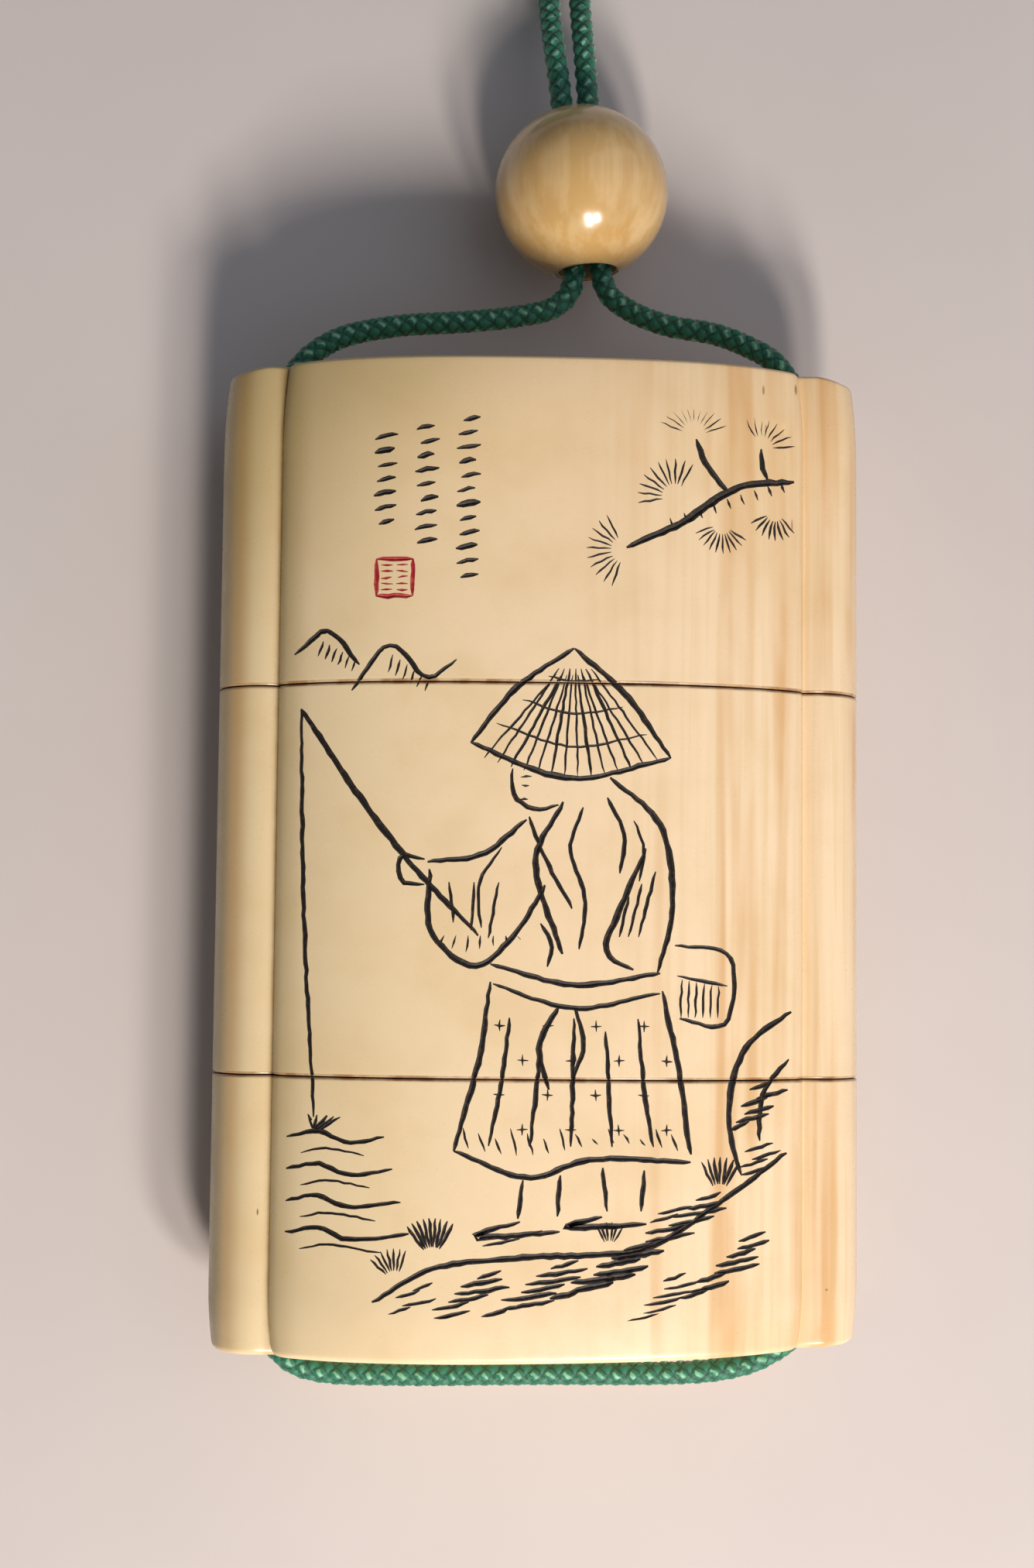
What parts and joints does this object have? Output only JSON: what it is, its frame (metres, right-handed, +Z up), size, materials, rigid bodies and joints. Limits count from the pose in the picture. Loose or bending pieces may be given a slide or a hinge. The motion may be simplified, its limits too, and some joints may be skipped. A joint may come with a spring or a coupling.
{
  "type": "inro case",
  "caption": "Small ivory belt case in stacked sections with an engraved front, threaded down its side ribs on a braided silk cord with a slide bead and a tied coil of spare cord.",
  "frame": {"origin": "middle of the flat rubbed on the back of the case, half-way along the case, on the surface that it lies on", "axes": "+X across the case to the right as seen from the front, +Y along the case towards its lid and the slide bead, +Z up out of the engraved front"},
  "size_m": [0.053, 0.1483, 0.0198],
  "materials": {
    "case_ivory": null,
    "bead_ivory": "honey-coloured polished ivory",
    "silk_cord": "tightly braided green silk with pale green flecks"
  },
  "bodies": {
    "root": {"lid": "case_ivory", "middle_case": "case_ivory", "base_case": "case_ivory", "bead": "bead_ivory", "cord_loop": "silk_cord", "strand_left": "silk_cord", "strand_right": "silk_cord", "cord_coil": "silk_cord", "cord_knot": "silk_cord"}
  },
  "joints": []
}
